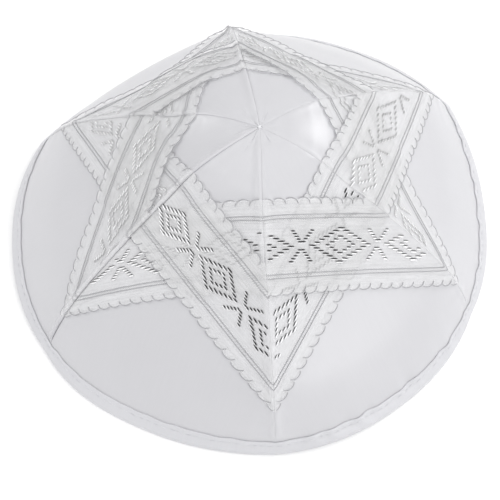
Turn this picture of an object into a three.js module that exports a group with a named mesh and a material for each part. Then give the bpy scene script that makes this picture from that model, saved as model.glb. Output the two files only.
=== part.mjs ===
// A satin skullcap of six gores, with a six-pointed star of crossing sheer ribbons and a bound edge.
// Millimetres, +Z up. The cap rests on its edge, with the middle of its outline over the origin.
import * as THREE from "three";

// ---- driving dimensions ----
const CLOTH = 1.2; // wall of a gore
const ALLOWANCE = 0.8; // what the turned seam allowance adds to the wall, inside
const RIBBON = 1.0; // wall of a ribbon
const BINDING = 1.0; // wall of the binding, each side of the gore
const BINDING_TAPER = 0.2; // how much thinner the binding is at its upper edge
const FOOT_INSET = 0.5; // how far the binding's flat underside stands in from its walls
const GAP = 0.3; // clearance between two pieces
const LAY = 0.5; // clearance between a ribbon and what it lies on, both of them faceted
const CROSSING = { clear: 6.5, ramp: 9.0 }; // how far past a crossing the upper ribbon stays up, and its ramp
const RIDGE = { height: 0.6, width: 1.0, fadeFrom: 0.08, fadeTo: 0.01 }; // a raised seam, and where it fades
const BOUND = 6.0; // how far up the gore the binding reaches, along the cloth
const FOLD_HEIGHT = 1.9; // height of a gore's lower edge, which stands in the fold of the binding
const STAR = { inner: 24.6, outer: 55.4, halfAngle: 29.8 }; // a ribbon's two edges, from the tip

// The crown from its tip down to its edge: the radius and height of the cloth's outer face at a seam and in
// the middle of a gore.
const LEVELS = [
  { name: "tip", seamRadius: 0.9, seamHeight: 67.9, middleRadius: 0.8, middleHeight: 67.9 },
  { name: "cap top", seamRadius: 12.0, seamHeight: 66.6, middleRadius: 11.6, middleHeight: 66.6 },
  { name: "star heart", seamRadius: 23.8, seamHeight: 62.7, middleRadius: 22.0, middleHeight: 62.9 },
  { name: "shoulder", seamRadius: 32.0, seamHeight: 56.9, middleRadius: 29.8, middleHeight: 57.9 },
  { name: "upper slope", seamRadius: 40.2, seamHeight: 51.1, middleRadius: 36.5, middleHeight: 51.2 },
  { name: "slope", seamRadius: 48.9, seamHeight: 45.4, middleRadius: 42.5, middleHeight: 45.4 },
  { name: "lower slope", seamRadius: 60.5, seamHeight: 36.6, middleRadius: 52.2, middleHeight: 36.3 },
  { name: "belly", seamRadius: 71.5, seamHeight: 26.9, middleRadius: 63.3, middleHeight: 27.0 },
  { name: "star points", seamRadius: 76.9, seamHeight: 20.6, middleRadius: 71.0, middleHeight: 20.6 },
  { name: "wall", seamRadius: 82.3, seamHeight: 12.0, middleRadius: 79.0, middleHeight: 12.0 },
  { name: "above binding", seamRadius: 85.2, seamHeight: 5.6, middleRadius: 84.0, middleHeight: 5.6 },
  { name: "edge", seamRadius: 86.6, seamHeight: FOLD_HEIGHT, middleRadius: 86.6, middleHeight: FOLD_HEIGHT },
];

// The soft cap isn't regular. Each seam runs out at its own azimuth, in degrees from +X, and stands in or out
// by a few millimetres at the crown, the belly and the edge.
const SEAMS = [
  { name: "front", azimuth: -90.0, crown: 0.3, belly: 1.4, edge: 0.8 },
  { name: "front right", azimuth: -29.5, crown: -0.6, belly: -0.5, edge: -2.3 },
  { name: "back right", azimuth: 29.5, crown: 1.6, belly: 1.4, edge: 3.6 },
  { name: "back", azimuth: 91.5, crown: 2.6, belly: -2.2, edge: -4.6 },
  { name: "back left", azimuth: 151.5, crown: -3.6, belly: -2.6, edge: -1.0 },
  { name: "front left", azimuth: 210.0, crown: 0.5, belly: 0.4, edge: 0.9 },
];

// Each gore, between the seam of the same row and the next: how far its middle is puffed up at the crown, the
// slope and the belly, how far out it stands at the edge, and its lean sideways, as a share of its width.
const GORES = [
  { name: "front_right", crown: 0.8, slope: 0, belly: -0.5, edge: -0.6, lean: 0 },
  { name: "right", crown: 1.1, slope: 0, belly: -1.8, edge: -2.0, lean: -0.026 },
  { name: "back_right", crown: 1.3, slope: 0, belly: 0, edge: -1.0, lean: 0 },
  { name: "back_left", crown: 1.0, slope: 5.4, belly: -2.0, edge: -9.0, lean: 0 },
  { name: "left", crown: -3.6, slope: 0, belly: 1.4, edge: 0.1, lean: 0 },
  { name: "front_left", crown: 0.6, slope: 0, belly: 0.6, edge: 0.3, lean: -0.044 },
];
const STATIONS = { tip: 0, crown: 0.25, slope: 0.45, belly: 0.62, edge: 1 }; // the levels of those offsets
const TIP_SHIFT = 1.6; // the tip leans this far towards +X

// ---- the crown's surface ----
const seamLine = profile("seamRadius", "seamHeight");
const middleLine = profile("middleRadius", "middleHeight");

function profile(radius, height) {
  return new THREE.CatmullRomCurve3(LEVELS.map((row) => new THREE.Vector3(row[radius], 0, row[height])));
}

// A row's offset at a level: nothing at the tip, then its crown, belly and edge values, smoothly joined.
function offset(row, level) {
  const { smoothstep } = THREE.MathUtils;
  const { tip, crown, belly, edge } = STATIONS;
  const toCrown = smoothstep(level, tip, crown);
  const toBelly = smoothstep(level, crown, belly);
  const toEdge = smoothstep(level, belly, edge);
  return row.crown * (toCrown - toBelly) + row.belly * (toBelly - toEdge) + row.edge * toEdge;
}

function tipShift(level) {
  return TIP_SHIFT * (1 - THREE.MathUtils.smoothstep(level, STATIONS.tip, STATIONS.crown));
}

// The power of a gore's crosswise curve: the edge is rounder at the seams than the crown is.
function roundness(level) {
  return 2 + 0.3 * THREE.MathUtils.smoothstep(level, STATIONS.belly, STATIONS.edge);
}

function seamPoint(index, level) {
  const seam = SEAMS[index % SEAMS.length];
  const at = seamLine.getPoint(level);
  const angle = THREE.MathUtils.degToRad(seam.azimuth);
  const radius = at.x + offset(seam, level);
  return new THREE.Vector3(radius * Math.cos(angle) + tipShift(level), radius * Math.sin(angle), at.z);
}

// How much of a gore's slope offset holds at a level: all of it at the slope, none at the crown or the belly.
function slopeShare(level) {
  const { smoothstep } = THREE.MathUtils;
  const { crown, slope, belly } = STATIONS;
  return smoothstep(level, crown, slope) - smoothstep(level, slope, belly);
}

function middlePoint(index, level) {
  const gore = GORES[index];
  const at = middleLine.getPoint(level);
  const next = SEAMS[(index + 1) % SEAMS.length].azimuth + (index + 1 === SEAMS.length ? 360 : 0);
  const angle = THREE.MathUtils.degToRad((SEAMS[index].azimuth + next) / 2);
  const toEdge = THREE.MathUtils.smoothstep(level, STATIONS.belly, STATIONS.edge);
  const radius = at.x + gore.edge * toEdge;
  const lift = offset({ ...gore, edge: 0 }, level) + gore.slope * slopeShare(level);
  return new THREE.Vector3(radius * Math.cos(angle) + tipShift(level), radius * Math.sin(angle), at.z + lift);
}

// A point of a gore's outer face. across runs from -1 at its own seam to 1 at the next.
function crownPoint(index, level, across) {
  const a = seamPoint(index, level);
  const b = seamPoint(index + 1, level);
  const bulge = 1 - Math.abs(across) ** roundness(level);
  const chordMiddle = a.clone().lerp(b, 0.5);
  const rise = middlePoint(index, level).sub(chordMiddle);
  return a
    .clone()
    .lerp(b, (across + 1) / 2)
    .addScaledVector(rise, bulge)
    .addScaledVector(b.sub(a), GORES[index].lean * bulge);
}

const STEP = 1e-3; // the small step of a slope or a search, in levels and shares of the width

function crownNormal(index, level, across) {
  const low = Math.max(level - STEP, 0);
  const high = Math.min(level + STEP, 1);
  const down = crownPoint(index, high, across).sub(crownPoint(index, low, across));
  const along = crownPoint(index, level, across + STEP).sub(crownPoint(index, level, across - STEP));
  return down.cross(along).normalize();
}

function halfWidth(index, level) {
  return seamPoint(index, level).distanceTo(seamPoint(index + 1, level)) / 2;
}

// How far the seam's ridge lifts the cloth. It fades out just above the binding.
function ridge(index, level, across) {
  const distance = (1 - Math.abs(across)) * halfWidth(index, level);
  const fade = 1 - THREE.MathUtils.smoothstep(level, boundLevel - RIDGE.fadeFrom, boundLevel - RIDGE.fadeTo);
  return RIDGE.height * fade * Math.exp(-((distance / RIDGE.width) ** 2));
}

// A point at a height over the cloth's outer face. At a seam it is mitred, so that it stays half a gap clear
// of the seam's upright plane.
function over(index, level, across, height) {
  const normal = crownNormal(index, level, across);
  const lift = height + ridge(index, level, across);
  const point = crownPoint(index, level, across);
  if (Math.abs(across) < 1) return point.addScaledVector(normal, lift);
  const side = across < 0 ? 1 : -1;
  const seam = SEAMS[(across < 0 ? index : index + 1) % SEAMS.length];
  const angle = THREE.MathUtils.degToRad(seam.azimuth);
  const planeNormal = new THREE.Vector3(-Math.sin(angle), Math.cos(angle), 0);
  const mitre = normal.clone().addScaledVector(planeNormal, -normal.dot(planeNormal));
  mitre.divideScalar(mitre.dot(normal));
  return point.addScaledVector(mitre, lift).addScaledVector(planeNormal, (side * GAP) / 2);
}

// The level that lies a given length of cloth above the edge.
function levelAboveEdge(length) {
  const edge = seamLine.getPoint(1);
  let level = 1;
  while (seamLine.getPoint(level).distanceTo(edge) < length) level -= STEP;
  return level;
}
const boundLevel = levelAboveEdge(BOUND - FOLD_HEIGHT);

// ---- closed solids ----
// The solid between two grids of points that match row for row, the first one facing out.
function slab(outer, inner) {
  const rows = outer.length;
  const columns = outer[0].length;
  const positions = [...outer, ...inner].flat().flatMap((p) => p.toArray());
  const face = (side, row, column) => (side * rows + row) * columns + column;
  const index = [];
  const quad = (a, b, c, d) => index.push(a, b, c, a, c, d);
  for (let row = 0; row < rows - 1; row++) {
    for (let column = 0; column < columns - 1; column++) {
      const corners = [
        [row, column],
        [row + 1, column],
        [row + 1, column + 1],
        [row, column + 1],
      ];
      quad(...corners.map(([r, c]) => face(0, r, c)));
      quad(...corners.map(([r, c]) => face(1, r, c)).reverse());
    }
    const last = columns - 1;
    quad(face(0, row, 0), face(1, row, 0), face(1, row + 1, 0), face(0, row + 1, 0));
    quad(face(0, row, last), face(0, row + 1, last), face(1, row + 1, last), face(1, row, last));
  }
  for (let column = 0; column < columns - 1; column++) {
    const last = rows - 1;
    quad(face(0, 0, column), face(0, 0, column + 1), face(1, 0, column + 1), face(1, 0, column));
    quad(face(0, last, column), face(1, last, column), face(1, last, column + 1), face(0, last, column + 1));
  }
  return indexed(positions, index);
}

// The ring that joins sections of one outline, round and back to the first.
function ring(sections) {
  const size = sections[0].length;
  const positions = sections.flat().flatMap((p) => p.toArray());
  const index = [];
  sections.forEach((_, section) => {
    const next = ((section + 1) % sections.length) * size;
    for (let corner = 0; corner < size; corner++) {
      const after = (corner + 1) % size;
      const [a, b] = [section * size + corner, section * size + after];
      const [c, d] = [next + after, next + corner];
      index.push(a, b, c, a, c, d);
    }
  });
  return indexed(positions, index);
}

function indexed(positions, index) {
  return new THREE.BufferGeometry()
    .setAttribute("position", new THREE.Float32BufferAttribute(positions, 3))
    .setIndex(index);
}

// ---- gores ----
const SEAM_STEPS = [0, 1.5, 5]; // cloth columns near a seam, mm from it
const NEAR_SHARE = 0.22; // near the tip, each of them takes at most this share of half the width
const MIDDLE_COLUMNS = 8; // columns between those of the two seams

// The columns of a gore at a level, from -1 to 1, close together near the seams.
function columns(index, level) {
  const width = halfWidth(index, level);
  const near = SEAM_STEPS.map((step, i) => 1 - Math.min(step / width, NEAR_SHARE * i));
  const inner = near.at(-1);
  const share = (i) => (2 * (i + 1)) / MIDDLE_COLUMNS - 1;
  const middle = Array.from({ length: MIDDLE_COLUMNS - 1 }, (_, i) => inner * share(i));
  return [...near.map((q) => -q), ...middle, ...near.toReversed()];
}

// The wall is thicker beside the seams, by the allowance turned in there.
function goreSolid(index) {
  const outer = [];
  const inner = [];
  LEVELS.forEach((_, row) => {
    const level = row / (LEVELS.length - 1);
    const places = columns(index, level);
    const hasAllowance = level > 0 && level < boundLevel;
    outer.push(places.map((across) => over(index, level, across, 0)));
    inner.push(
      places.map((across, i) => {
        const nearSeam = Math.min(i, places.length - 1 - i) < SEAM_STEPS.length - 1;
        const wall = CLOTH + (hasAllowance && nearSeam ? ALLOWANCE : 0);
        return over(index, level, across, -wall - ridge(index, level, across));
      }),
    );
  });
  return slab(outer, inner);
}

// ---- ribbons ----
// A gore is cut flat, and a ribbon is a straight strip on it, square to one of its two seams. This chart
// gives, level by level, how far down the flat gore it lies, in the middle and at the seams, and half the
// gore's width.
const CHART_STEPS = 120;
const chart = flatGore();

function flatGore() {
  const tip = LEVELS[0];
  const rows = [{ level: 0, middle: tip.middleRadius, seam: tip.middleRadius, half: tip.seamRadius / 2 }];
  for (let step = 1; step <= CHART_STEPS; step++) {
    const level = step / CHART_STEPS;
    const [seam, middle] = [seamLine.getPoint(level), middleLine.getPoint(level)];
    const before = rows.at(-1);
    const seamLength = seam.distanceTo(seamLine.getPoint(before.level));
    const middleLength = middle.distanceTo(middleLine.getPoint(before.level));
    const chord = seam.x / 2;
    const sagitta = middle.x - seam.x * Math.cos(Math.PI / 6);
    const half = chord * (1 + (2 / 3) * (sagitta / chord) ** 2); // half a flat parabola's length
    const run = Math.sqrt(Math.max(seamLength ** 2 - (half - before.half) ** 2, 0));
    rows.push({ level, middle: before.middle + middleLength, seam: before.seam + run, half });
  }
  return rows;
}

// The level and the place across a gore of a point on the flat gore.
function place(down, sideways) {
  const distance = (row) => {
    const across = sideways / row.half;
    return row.middle + (row.seam - row.middle) * across ** 2;
  };
  const next = chart.findIndex((row) => Math.abs(sideways) < 3 * row.half && distance(row) >= down);
  const [a, b] = [chart[Math.max(next - 1, 0)], chart[Math.max(next, 1)]];
  const share = THREE.MathUtils.clamp((down - distance(a)) / (distance(b) - distance(a)), 0, 1);
  const half = THREE.MathUtils.lerp(a.half, b.half, share);
  return { level: THREE.MathUtils.lerp(a.level, b.level, share), across: sideways / half };
}

// The same for a point of a ribbon: its distance from the tip along the ribbon's own seam, and how far it is
// along the ribbon. ownSide is -1 for the ribbon square to the gore's own seam, 1 for the next seam's.
function onRibbon(ownSide, fromTip, along) {
  const angle = THREE.MathUtils.degToRad(STAR.halfAngle);
  const down = fromTip * Math.cos(angle) + along * Math.sin(angle);
  const sideways = fromTip * Math.sin(angle) - along * Math.cos(angle);
  return place(down, ownSide * sideways);
}

// How far a point of the upper ribbon is raised to pass over the lower one.
function raised(fromTip, along) {
  const turn = THREE.MathUtils.degToRad(2 * STAR.halfAngle);
  const onLower = fromTip * Math.cos(turn) + along * Math.sin(turn);
  const outside = Math.max(STAR.inner - onLower, onLower - STAR.outer);
  const down = THREE.MathUtils.smoothstep(outside, CROSSING.clear, CROSSING.clear + CROSSING.ramp);
  return (RIBBON + LAY) * (1 - down);
}

const REACH = 110; // no ribbon is longer than this

// How far along the ribbon a seam is: the ribbon's own when side is ownSide, else the far one.
function ribbonEnd(ownSide, fromTip, side) {
  let [low, high] = [-REACH, REACH];
  while (high - low > STEP) {
    const middle = (low + high) / 2;
    const past = onRibbon(ownSide, fromTip, middle).across * ownSide < side * ownSide;
    [low, high] = past ? [low, middle] : [middle, high];
  }
  return (low + high) / 2;
}

const RIBBON_ROWS = 10; // rows of points over a ribbon's width
const RIBBON_COLUMNS = 8; // columns between those near its two seams

// isOver is for the ribbon that passes over the gore's other one.
function ribbonSolid(index, isOver) {
  const ownSide = isOver ? -1 : 1;
  const face = (lift) =>
    Array.from({ length: RIBBON_ROWS }, (_, row) => {
      const fromTip = THREE.MathUtils.lerp(STAR.inner, STAR.outer, row / (RIBBON_ROWS - 1));
      const ends = [ribbonEnd(ownSide, fromTip, ownSide), ribbonEnd(ownSide, fromTip, -ownSide)];
      const near = SEAM_STEPS.at(-1);
      const step = (ends[1] - ends[0] - 2 * near) / RIBBON_COLUMNS;
      const steps = [
        ...SEAM_STEPS.map((length) => ends[0] + length),
        ...Array.from({ length: RIBBON_COLUMNS - 1 }, (_, i) => ends[0] + near + (i + 1) * step),
        ...SEAM_STEPS.toReversed().map((length) => ends[1] - length),
      ];
      const points = steps.map((along, i) => {
        const at = onRibbon(ownSide, fromTip, along);
        if (i === 0) at.across = ownSide;
        if (i === steps.length - 1) at.across = -ownSide;
        return over(index, at.level, at.across, LAY + lift + (isOver ? raised(fromTip, along) : 0));
      });
      return ownSide < 0 ? points : points.reverse();
    });
  return slab(face(RIBBON), face(0));
}

// ---- binding ----
// A section of the binding, folded round the lower edge of a gore: up its outer face and down its inner one.
function bindingSection(index, across) {
  const at = (level, height) => {
    const normal = crownNormal(index, level, across);
    return crownPoint(index, level, across).addScaledVector(normal, height);
  };
  const outside = GAP + BINDING;
  const inside = -CLOTH - GAP - BINDING;
  const foot = (point, height) => point.setZ(height);
  const middleLevel = (boundLevel + 1) / 2;
  return [
    at(boundLevel, GAP),
    at(boundLevel, outside - BINDING_TAPER),
    at(middleLevel, outside),
    at(1, outside),
    foot(at(1, outside - FOOT_INSET), 0),
    foot(at(1, inside + FOOT_INSET), 0),
    at(1, inside),
    at(boundLevel, inside),
    at(boundLevel, inside + BINDING),
    at(1, inside + BINDING),
    foot(at(1, inside + BINDING), BINDING),
    foot(at(1, GAP), BINDING),
    at(1, GAP),
  ];
}

function bindingSolid() {
  const sections = GORES.flatMap((_, index) =>
    columns(index, 1)
      .slice(0, -1)
      .map((across) => bindingSection(index, across)),
  );
  return ring(sections);
}

// ---- the scene graph ----
const satin = { color: 0xe8e8ec, roughness: 0.35, metalness: 0 };
const sheer = { color: 0xdcdddf, roughness: 0.55, metalness: 0 };

function piece(name, geometry, look) {
  const mesh = new THREE.Mesh(geometry, new THREE.MeshStandardMaterial(look));
  mesh.name = name;
  mesh.geometry.computeVertexNormals();
  return mesh;
}

const cap = new THREE.Group();
GORES.forEach(({ name }, index) => {
  cap.add(piece(`gore_${name}`, goreSolid(index), satin));
  cap.add(piece(`ribbon_under_${name}`, ribbonSolid(index, false), sheer));
  cap.add(piece(`ribbon_over_${name}`, ribbonSolid(index, true), sheer));
});
cap.add(piece("edge_binding", bindingSolid(), satin));

// The middle of the outline goes over the origin.
const middle = new THREE.Box3().setFromObject(cap).getCenter(new THREE.Vector3());
cap.position.set(-middle.x, -middle.y, 0);

export default cap;
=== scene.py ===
"""A white satin skullcap of six gores, with a star of sheer ribbons and a folded binding round its edge.

Lengths are in millimetres up to the moment a mesh is made, and in metres in Blender. The crown's tables are
those of the cap's own construction, so each cloth lies where its solid does.
"""

import logging  # noqa: E402
import math  # noqa: E402
from dataclasses import dataclass, field  # noqa: E402
from enum import Enum  # noqa: E402

import bpy  # noqa: E402
import numpy as np  # noqa: E402
from mathutils import Matrix, Vector  # noqa: E402

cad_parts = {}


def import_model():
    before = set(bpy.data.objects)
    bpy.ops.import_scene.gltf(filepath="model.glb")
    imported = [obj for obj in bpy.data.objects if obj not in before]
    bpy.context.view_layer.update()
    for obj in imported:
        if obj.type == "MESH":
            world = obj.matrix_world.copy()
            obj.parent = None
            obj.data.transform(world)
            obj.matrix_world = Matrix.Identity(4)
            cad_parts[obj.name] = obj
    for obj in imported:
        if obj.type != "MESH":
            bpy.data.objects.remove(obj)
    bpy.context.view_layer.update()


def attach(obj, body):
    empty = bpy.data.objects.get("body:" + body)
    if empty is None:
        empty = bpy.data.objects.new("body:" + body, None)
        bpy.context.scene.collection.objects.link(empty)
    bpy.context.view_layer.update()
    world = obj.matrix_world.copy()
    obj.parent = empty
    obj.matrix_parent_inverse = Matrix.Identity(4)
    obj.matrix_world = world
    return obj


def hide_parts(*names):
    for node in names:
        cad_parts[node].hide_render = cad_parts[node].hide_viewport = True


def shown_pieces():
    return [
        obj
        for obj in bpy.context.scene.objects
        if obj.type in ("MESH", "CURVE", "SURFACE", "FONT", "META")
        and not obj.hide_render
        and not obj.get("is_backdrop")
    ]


LOG = logging.getLogger("skullcap")
MM = 0.001
BODY = "root"

Grid = np.ndarray  # points, with their three coordinates in the last axis
Numbers = np.ndarray


class Lies(Enum):
    """Whether a ribbon passes over or under the other one on its gore."""

    OVER = "over"
    UNDER = "under"


# ---- the cap's tables ----
@dataclass(frozen=True)
class Level:
    """One height of the crown: radius and height of its outer face at a seam and in a gore's middle."""

    name: str
    seam_radius: float
    seam_height: float
    middle_radius: float
    middle_height: float


@dataclass(frozen=True)
class Seam:
    """A seam: its azimuth, how far it stands out at three stations, its two folds' heights and its crease."""

    name: str
    azimuth: float
    crown: float
    belly: float
    edge: float
    fold_before: float
    fold_after: float
    crease: float


@dataclass(frozen=True)
class Gore:
    """A gore: how its middle is puffed up, how far it stands out at the edge and leans, and its puckers."""

    name: str
    crown: float
    belly: float
    edge: float
    lean: float
    slope: float
    edge_pucker: float
    tip_pucker: float
    ribbon_pucker: float


@dataclass(frozen=True)
class RibbonLength:
    """A length of ribbon: its gore, how it lies, where its figure starts, and where its threads' painted
    reflection turns from dark to bright.
    """

    gore: int
    lies: Lies
    period: float
    phase: float  # how far along it the first lozenge is centred
    pivot: float  # how far along it the threads' painted reflection changes between dark and bright
    turn: float  # 1 where their painted reflection grows bright along it, and -1 where it grows dark
    # how strongly the threads swing between a painted dark reflection and a painted glint; where low, they
    # are an even grey
    contrast: float


FOLD_HEIGHT = 1.9  # height of a gore's lower edge, inside the binding's fold
LEVELS = (
    Level("tip", 0.9, 67.9, 0.8, 67.9),
    Level("cap top", 12.0, 66.6, 11.6, 66.6),
    Level("star heart", 23.8, 62.7, 22.0, 62.9),
    Level("shoulder", 32.0, 56.9, 29.8, 57.9),
    Level("upper slope", 40.2, 51.1, 36.5, 51.2),
    Level("slope", 48.9, 45.4, 42.5, 45.4),
    Level("lower slope", 60.5, 36.6, 52.2, 36.3),
    Level("belly", 71.5, 26.9, 63.3, 27.0),
    Level("star points", 76.9, 20.6, 71.0, 20.6),
    Level("wall", 82.3, 12.0, 79.0, 12.0),
    Level("above binding", 85.2, 5.6, 84.0, 5.6),
    Level("edge", 86.6, FOLD_HEIGHT, 86.6, FOLD_HEIGHT),
)
SEAMS = (
    Seam("front", -90.0, 0.3, 1.4, 0.8, 0.85, 0.6, 0.06),
    Seam("front_right", -29.5, -0.6, -0.5, -2.3, 0.12, 0.2, 0.12),
    Seam("back_right", 29.5, 1.6, 1.4, 3.6, 0.2, 0.12, 0.15),
    Seam("back", 91.5, 2.6, -2.2, -4.6, 0.3, 0.9, 0.3),
    Seam("back_left", 151.5, -3.6, -2.6, -1.0, 0.5, 0.1, 0.45),
    Seam("front_left", 210.0, 0.5, 0.4, 0.9, 1.3, 0.25, 0.6),
)
GORES = (
    Gore("front_right", 0.8, -0.5, -0.6, 0.0, 0.0, 0.45, 0.03, 0.06),
    Gore("right", 1.1, -1.8, -2.0, -0.026, 0.0, 0.3, 0.04, 0.16),
    Gore("back_right", 1.3, 0.0, -1.0, 0.0, 0.0, 0.15, 0.04, 0.42),
    Gore("back_left", 1.0, -2.0, -9.0, 0.0, 5.4, 0.2, 0.06, 0.42),
    Gore("left", -3.6, 1.4, 0.1, 0.0, 0.0, 0.15, 0.22, 0.3),
    Gore("front_left", 0.6, 0.6, 0.3, -0.044, 0.0, 0.2, 0.06, 0.06),
)
# the last three columns place the silver threads' painted reflection: where and which way it turns from dark
# to bright, and how strongly
RIBBONS = (
    RibbonLength(0, Lies.UNDER, 26.0, -1.0, 45.0, 1.0, 1.0),
    RibbonLength(0, Lies.OVER, 28.4, 0.0, 34.0, 1.0, 1.0),
    RibbonLength(1, Lies.UNDER, 26.0, 4.0, 20.0, 1.0, 0.35),
    RibbonLength(1, Lies.OVER, 31.0, 10.6, 20.0, -1.0, 0.5),
    RibbonLength(2, Lies.UNDER, 26.0, 9.0, 20.0, 1.0, 0.25),
    RibbonLength(2, Lies.OVER, 26.0, 2.0, 20.0, 1.0, 0.25),
    RibbonLength(3, Lies.UNDER, 26.0, 0.0, 20.0, 1.0, 0.25),
    RibbonLength(3, Lies.OVER, 26.0, 10.0, 20.0, 1.0, 0.25),
    RibbonLength(4, Lies.UNDER, 26.0, 5.0, -20.0, 1.0, 0.35),
    RibbonLength(4, Lies.OVER, 26.0, 14.0, -20.0, 1.0, 0.35),
    RibbonLength(5, Lies.UNDER, 26.0, 12.0, 30.0, 1.0, 0.9),
    RibbonLength(5, Lies.OVER, 23.6, 10.3, 27.0, -1.0, 1.0),
)
STATION_CROWN, STATION_SLOPE, STATION_BELLY, STATION_EDGE = 0.25, 0.45, 0.62, 1.0
TIP_SHIFT = 1.6  # the tip leans this far towards +X
STAR_INNER, STAR_OUTER, STAR_ANGLE = 24.6, 55.4, 29.8  # a ribbon's edges from the tip, and half its turn
BOUND = 6.0  # how far up the gores the binding reaches, along the cloth
GORE_LENGTH = 112.0  # a gore's length from its tip to its edge
GORE_SPACING = 120  # how far apart the six flat cuts lie in the cloth's UV map


# ---- small mathematics ----
def smoothstep(value: Numbers, low: float, high: float) -> Numbers:
    """The smooth step from 0 at low to 1 at high.

    Args:
        value: where it is wanted.
        low: where the step starts.
        high: where it ends.

    Returns:
        The step's height at each value.
    """
    share = np.clip((np.asarray(value, float) - low) / (high - low), 0.0, 1.0)
    return share * share * (3 - 2 * share)


def unit(vectors: Grid) -> Grid:
    """The same directions, one long."""
    return vectors / np.maximum(np.linalg.norm(vectors, axis=-1, keepdims=True), 1e-12)


def dot(a: Grid, b: Grid) -> Numbers:
    """The dot products of two arrays of vectors, with their last axis kept."""
    return (a * b).sum(-1, keepdims=True)


def through(points: Grid, share: Numbers) -> Grid:
    """A centripetal Catmull-Rom curve through points, which pass at equal steps of its parameter.

    Args:
        points: the points, in a row.
        share: the parameter, 0 at the first point and 1 at the last.

    Returns:
        The curve's points at those parameters.
    """
    first, last = 2 * points[:1] - points[1:2], 2 * points[-1:] - points[-2:-1]
    padded = np.concatenate([first, points, last])
    place = np.clip(np.asarray(share, float), 0, 1) * (len(points) - 1)
    piece = np.minimum(place.astype(int), len(points) - 2)
    weight = (place - piece)[..., None]
    p0, p1, p2, p3 = (padded[piece + k] for k in range(4))
    pairs = ((p0, p1), (p1, p2), (p2, p3))
    d0, d1, d2 = (np.sqrt(np.linalg.norm(b - a, axis=-1, keepdims=True)) for a, b in pairs)
    start = ((p1 - p0) / d0 - (p2 - p0) / (d0 + d1) + (p2 - p1) / d1) * d1
    end = ((p2 - p1) / d1 - (p3 - p1) / (d1 + d2) + (p3 - p2) / d2) * d1
    cubic = 2 * p1 - 2 * p2 + start + end
    square = -3 * p1 + 3 * p2 - 2 * start - end
    return p1 + weight * (start + weight * (square + weight * cubic))


def ripple(place: Numbers, length: float, seed: int) -> Numbers:
    """An uneven wave, between about -1 and 1, that never quite repeats.

    Args:
        place: where it is wanted, in millimetres.
        length: its usual wavelength.
        seed: which of its forms.

    Returns:
        Its height at each place.
    """
    parts = ((1.0, 1.0, 0.0), (0.618, 0.55, 1.7), (1.47, 0.4, 4.1), (0.31, 0.35, 2.6))
    turns = 2 * math.pi * np.asarray(place, float) / length
    wave = sum(size * np.sin(turns * rate + start + 2.39996 * seed) for rate, size, start in parts)
    return wave / 1.6


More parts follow.
